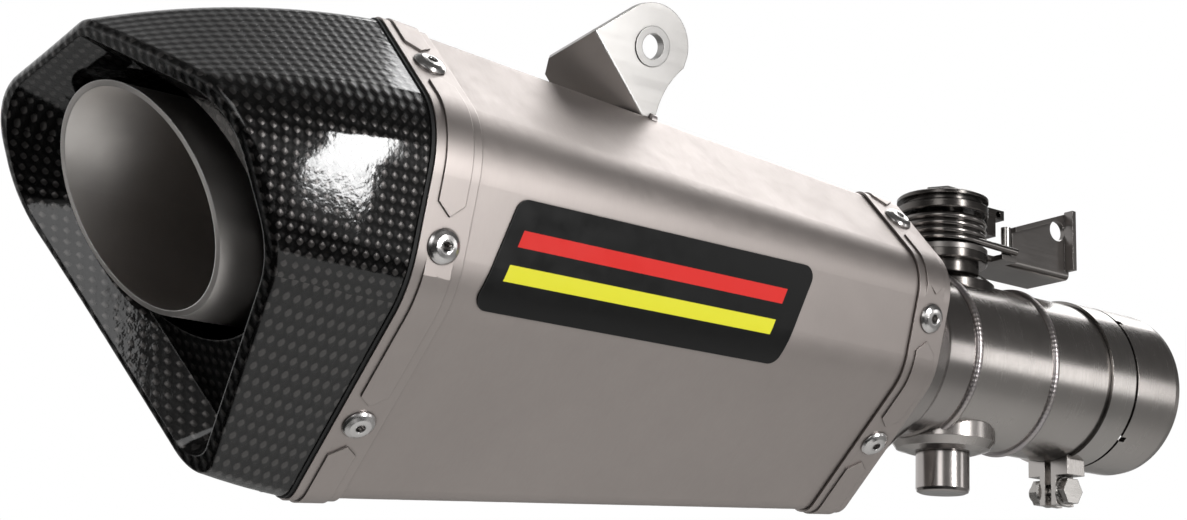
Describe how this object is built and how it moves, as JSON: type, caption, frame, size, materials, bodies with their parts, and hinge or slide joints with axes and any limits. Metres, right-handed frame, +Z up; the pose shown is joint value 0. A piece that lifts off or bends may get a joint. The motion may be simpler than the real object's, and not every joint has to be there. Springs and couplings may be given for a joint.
{
  "type": "racing exhaust system",
  "caption": "Hexagonal slip-on racing silencer with a slanted carbon end cap, riveted straps, hanger tab and a cable-worked butterfly valve ahead of a clamped inlet socket.",
  "frame": {"origin": "centre of the inlet socket's mouth, on the pipe axis", "axes": "+X out of the inlet socket's mouth (the outlet is at -X), +Z up along the valve shaft, -Y towards the badge side; the hexagonal body is rolled 15 degrees about X"},
  "size_m": [0.4276, 0.1134, 0.1661],
  "materials": {
    "satin_titanium": "satin warm grey sheet",
    "strap_titanium": "satin embossed band",
    "rivet_steel": "bright domed heads",
    "carbon_fibre": "clear-coated twill weave",
    "black_seal": "matt black",
    "brushed_tube": "brushed inside and out",
    "inner_steel": "mill finish",
    "glass_wool": "loose fibre mat",
    "polished_steel": "polished",
    "badge_film": "gloss film with plain stripes",
    "bracket_steel": "bright sheet",
    "bush_metal": "turned",
    "weld_bead": "rippled bead",
    "pipe_steel": "brushed round the pipe",
    "graphite_seal": "pressed graphite",
    "clamp_steel": "rolled strip",
    "fastener_steel": "zinc plated",
    "dark_steel": "turned, heat darkened",
    "bronze_bush": "sintered",
    "spring_wire": "drawn wire"
  },
  "bodies": {
    "silencer": {"bracket_screws": "fastener_steel", "cable_bracket": "bracket_steel", "carbon_end_cap": "carbon_fibre", "clamp_band": "clamp_steel", "clamp_bolt": "fastener_steel", "clamp_nut": "fastener_steel", "end_cap_seal": "black_seal", "front_weld": "weld_bead", "glass_packing": "glass_wool", "hanger_bracket": "bracket_steel", "hanger_bush": "bush_metal", "hanger_weld": "weld_bead", "inlet_bulkhead": "inner_steel", "inlet_end_cap": "polished_steel", "inlet_rivets": "rivet_steel", "inlet_socket": "pipe_steel", "inlet_strap": "strap_titanium", "lower_bearing_cup": "polished_steel", "lower_bush": "bronze_bush", "lower_saddle": "pipe_steel", "outer_sleeve": "satin_titanium", "outlet_bulkhead": "inner_steel", "outlet_rivets": "rivet_steel", "outlet_strap": "strap_titanium", "outlet_tube": "brushed_tube", "perforated_core": "inner_steel", "rear_weld": "weld_bead", "return_spring": "spring_wire", "side_badge": "badge_film", "socket_seal_ring": "graphite_seal", "spring_stop_pin": "fastener_steel", "upper_bearing_boss": "dark_steel", "upper_bush": "bronze_bush", "valve_housing": "pipe_steel"},
    "valve": {"butterfly_plate": "inner_steel", "valve_shaft": "inner_steel", "plate_screws": "fastener_steel", "cable_pulley": "dark_steel", "thrust_washer": "fastener_steel", "pulley_washer": "fastener_steel", "pulley_nut": "fastener_steel"}
  },
  "joints": [
    {"name": "valve_turn", "type": "hinge", "parent": "silencer", "child": "valve", "pos_m": [-0.094, 0, 0], "axis": [0, 0, 1], "range_deg": [0, 85], "stiffness_Nm_per_rad": 0.08}
  ]
}
